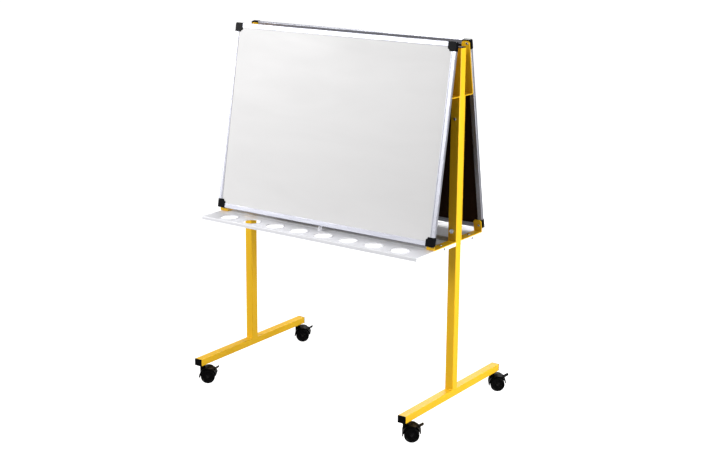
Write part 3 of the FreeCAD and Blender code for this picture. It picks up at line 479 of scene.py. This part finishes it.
# ---------------------------------------------------------------- castors
# Twin-wheel castors moulded in black nylon, with a hood, a toe brake, a steel stem and a steel axle.
# The hood is smooth and slightly glossy. The wheels are duller, and floor dust greys their treads.
HOOD_BLACK = "#020203"
HOOD_WORN = "#080809"
WHEEL_BLACK = "#050506"
WHEEL_DUST = "#181716"
OXIDE_BLACK = "#2a2a2d"
OXIDE_BROWN = "#3b3632"
WHEEL_RADIUS = 25.0 * MM
WHEEL_HALF = 8.0 * MM
WHEEL_ROUND = 3.0 * MM                                   # rounded edges of the tread
GROOVE_DEPTH = 0.7 * MM                                  # round the middle of the tread
GROOVE_TOP = 0.8 * MM                                    # half its width at the tread
GROOVE_FOOT = 0.5 * MM                                   # half its width at its floor
WHEEL_TURNS = 120
WHEEL_RIBS = 9
RIB_HEIGHT = 0.9 * MM


def wheel_nylon():
    """Black nylon, greyed by dust in fine scuffs."""
    material, tree = new_tree("black_wheel_nylon")
    place = object_place(tree)
    scuffs = between(tree, noise(tree, place, 2.2 * MM, 5.0, 0.7), 0.0, 0.7, 0.5, 0.78)
    colour = blend_colours(tree, scuffs, WHEEL_BLACK, WHEEL_DUST)
    gloss = between(tree, scuffs, 0.40, 0.62)
    finish_material(tree, {"IOR": 1.53, "Specular IOR Level": PLASTIC_SHEEN},
                    {"Base Color": colour, "Roughness": gloss},
                    noise(tree, place, MOULD_GRAIN), 0.03 * MM)
    return material


def castor_wheel(hub, axis, outer_sign):
    """Wheel turned about its axle. The angle runs round the axle, and the section runs over the flat
    inner side, the rounded tread, the rim, the dished outer side and the hub. In the dish, the
    surface rises by the rib height times a sharp cosine hump of the angle, once for each rib."""
    edge = np.linspace(0, math.pi / 2, 6)
    tread_in = np.stack([WHEEL_RADIUS - WHEEL_ROUND + WHEEL_ROUND * np.sin(edge),
                         -WHEEL_HALF + WHEEL_ROUND - WHEEL_ROUND * np.cos(edge)], -1)
    tread_out = np.stack([WHEEL_RADIUS - WHEEL_ROUND + WHEEL_ROUND * np.cos(edge),
                          WHEEL_HALF - WHEEL_ROUND + WHEEL_ROUND * np.sin(edge)], -1)
    groove_floor = WHEEL_RADIUS - GROOVE_DEPTH
    groove = np.array([[WHEEL_RADIUS, -GROOVE_TOP], [groove_floor, -GROOVE_FOOT],
                       [groove_floor, GROOVE_FOOT], [WHEEL_RADIUS, GROOVE_TOP]])
    rim = np.array([[20.2, 8.0], [19.6, 7.7], [19.0, 5.6], [18.2, 5.5]]) * MM
    dish = np.array([[16.0, 5.5], [13.0, 5.5], [10.0, 5.5]]) * MM
    hub_side = np.array([[8.4, 5.5], [7.4, 5.7], [7.0, 7.4], [6.4, 8.0], [4.8, 8.0], [3.1, 7.9],
                         [3.1, -8.0], [9.0, -8.0], [16.0, -8.0]]) * MM
    section = np.concatenate([tread_in, groove, tread_out, rim, dish, hub_side])
    in_dish = np.zeros(len(section))
    first = len(tread_in) + len(groove) + len(tread_out) + len(rim)
    in_dish[first:first + len(dish)] = 1
    angle = np.linspace(0, 2 * math.pi, WHEEL_TURNS, endpoint=False)
    hump = np.clip(np.cos(WHEEL_RIBS * angle), 0, 1) ** 6
    axis = np.array(axis) * outer_sign
    upright = np.array((0.0, 0.0, 1.0))
    level = np.cross(axis, upright)
    radius = section[None, :, 0, None]
    along = (section[None, :, 1] + hump[:, None] * in_dish[None, :] * RIB_HEIGHT)[..., None]
    spoke = np.cos(angle)[:, None, None] * level + np.sin(angle)[:, None, None] * upright
    points = np.array(hub) + radius * spoke + along * axis
    return points.reshape(-1, 3), grid_faces(WHEEL_TURNS, len(section), True)


def black_oxide():
    """Steel blackened in hot salts: an oily near-black with brown spots, which hides the axle ends."""
    material, tree = new_tree("black_oxide_steel")
    spots = noise(tree, object_place(tree), 1.4 * MM, 4.0)
    colour = blend_colours(tree, between(tree, spots, 0.0, 1.0, 0.4, 0.7), OXIDE_BLACK, OXIDE_BROWN)
    gloss = between(tree, spots, 0.3, 0.5)
    finish_material(tree, {"Metallic": 1.0}, {"Base Color": colour, "Roughness": gloss})
    return material


oxide = black_oxide()
hood = moulded_black("black_hood_nylon", HOOD_BLACK, HOOD_WORN, 0.34)
nylon = wheel_nylon()
spins = {joint["child"]: joint for joint in frame["joints"]}
for end in ("front", "rear"):
    for side in ("left", "right"):
        castor = end + "_" + side
        dress(hood, castor + "_castor_housing", castor + "_castor_brake")
        dress(zinc, castor + "_castor_stem")
        dress(oxide, castor + "_castor_axle")
        for wheel, sign in (("left", 1), ("right", -1)):
            body = castor + "_" + wheel + "_wheel"
            node = castor + "_castor_" + wheel + "_wheel"
            low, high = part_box(node)
            points, faces = castor_wheel((low + high) / 2, spins[body]["axis"], sign)
            piece = new_piece(body + "_tyre", points, faces, nylon, body, "wheel_nylon")
            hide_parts(node)
